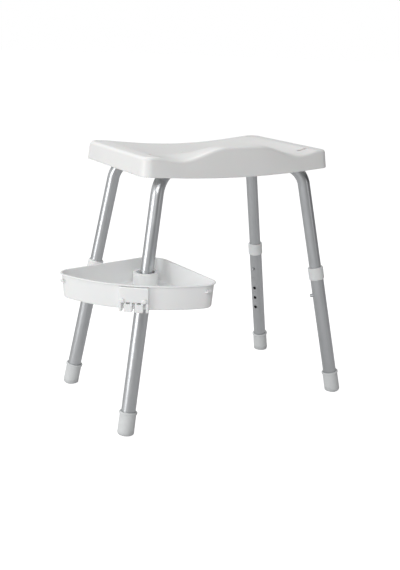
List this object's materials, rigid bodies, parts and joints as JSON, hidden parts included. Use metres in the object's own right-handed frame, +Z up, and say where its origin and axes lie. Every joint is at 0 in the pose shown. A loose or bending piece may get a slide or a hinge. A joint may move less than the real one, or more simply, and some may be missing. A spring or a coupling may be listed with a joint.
{
  "type": "shower stool",
  "caption": "Height-adjustable bathroom stool with a moulded white seat, splayed telescoping aluminium legs and a swivelling storage tray on one leg",
  "frame": {"origin": "on the floor, midway between the four feet", "axes": "+X to the right along the seat's long side seen from the front, +Y toward the back, +Z up; the tray is on the front left leg"},
  "size_m": [0.638, 0.4532, 0.542],
  "materials": {
    "seat_plastic": "satin",
    "pan_plastic": "matte",
    "tray_plastic": "satin",
    "collar_plastic": "satin",
    "clamp_plastic": "matte",
    "plug_plastic": "matte",
    "foot_rubber": "matte",
    "tube_alloy": "satin",
    "screw_steel": "brushed",
    "spring_steel": "satin",
    "button_steel": "polished"
  },
  "bodies": {
    "stool_frame": {"seat_shell": "seat_plastic", "seat_pan": "pan_plastic", "seat_posts": "seat_plastic", "upper_tube_fl": "tube_alloy", "upper_tube_fr": "tube_alloy", "upper_tube_bl": "tube_alloy", "upper_tube_br": "tube_alloy", "tube_plug_fl": "plug_plastic", "tube_plug_fr": "plug_plastic", "tube_plug_bl": "plug_plastic", "tube_plug_br": "plug_plastic", "tube_clamp_fl": "clamp_plastic", "tube_clamp_fr": "clamp_plastic", "tube_clamp_bl": "clamp_plastic", "tube_clamp_br": "clamp_plastic", "button_leaf_fl": "spring_steel", "button_leaf_fr": "spring_steel", "button_leaf_bl": "spring_steel", "button_leaf_br": "spring_steel", "clamp_screws": "screw_steel", "seat_screws": "screw_steel"},
    "leg_fl": {"lower_tube_fl": "tube_alloy", "foot_fl": "foot_rubber", "collar_fl": "collar_plastic", "tray_pivot": "collar_plastic"},
    "button_fl": {"spring_button_fl": "button_steel"},
    "leg_fr": {"lower_tube_fr": "tube_alloy", "foot_fr": "foot_rubber", "collar_fr": "collar_plastic"},
    "button_fr": {"spring_button_fr": "button_steel"},
    "leg_bl": {"lower_tube_bl": "tube_alloy", "foot_bl": "foot_rubber", "collar_bl": "collar_plastic"},
    "button_bl": {"spring_button_bl": "button_steel"},
    "leg_br": {"lower_tube_br": "tube_alloy", "foot_br": "foot_rubber", "collar_br": "collar_plastic"},
    "button_br": {"spring_button_br": "button_steel"},
    "tray": {"storage_tray": "tray_plastic", "tray_front_panel": "tray_plastic", "tray_hooks": "tray_plastic"}
  },
  "joints": [
    {"name": "leg_fl_height", "type": "slide", "parent": "stool_frame", "child": "leg_fl", "axis": [0.1742, 0.0934, 0.9803], "range_m": [0, 0.1016], "deforming": ["spring_button_fl"]},
    {"name": "button_fl_press", "type": "slide", "parent": "stool_frame", "child": "button_fl", "axis": [-0.8639, -0.4632, 0.1977], "range_m": [0, 0.0076], "stiffness_N_per_m": 900, "springref_m": -0.002, "deforming": ["button_leaf_fl"]},
    {"name": "leg_fr_height", "type": "slide", "parent": "stool_frame", "child": "leg_fr", "axis": [-0.1742, 0.0934, 0.9803], "range_m": [0, 0.1016], "deforming": ["spring_button_fr"]},
    {"name": "button_fr_press", "type": "slide", "parent": "stool_frame", "child": "button_fr", "axis": [0.8639, -0.4632, 0.1977], "range_m": [0, 0.0076], "stiffness_N_per_m": 900, "springref_m": -0.002, "deforming": ["button_leaf_fr"]},
    {"name": "leg_bl_height", "type": "slide", "parent": "stool_frame", "child": "leg_bl", "axis": [0.1742, -0.0934, 0.9803], "range_m": [0, 0.1016], "deforming": ["spring_button_bl"]},
    {"name": "button_bl_press", "type": "slide", "parent": "stool_frame", "child": "button_bl", "axis": [-0.8639, 0.4632, 0.1977], "range_m": [0, 0.0076], "stiffness_N_per_m": 900, "springref_m": -0.002, "deforming": ["button_leaf_bl"]},
    {"name": "leg_br_height", "type": "slide", "parent": "stool_frame", "child": "leg_br", "axis": [-0.1742, -0.0934, 0.9803], "range_m": [0, 0.1016], "deforming": ["spring_button_br"]},
    {"name": "button_br_press", "type": "slide", "parent": "stool_frame", "child": "button_br", "axis": [0.8639, 0.4632, 0.1977], "range_m": [0, 0.0076], "stiffness_N_per_m": 900, "springref_m": -0.002, "deforming": ["button_leaf_br"]},
    {"name": "tray_swivel", "type": "hinge", "parent": "leg_fl", "child": "tray", "pos_m": [-0.19811, -0.11568, 0.292], "axis": [0, 0, 1], "continuous": true}
  ]
}
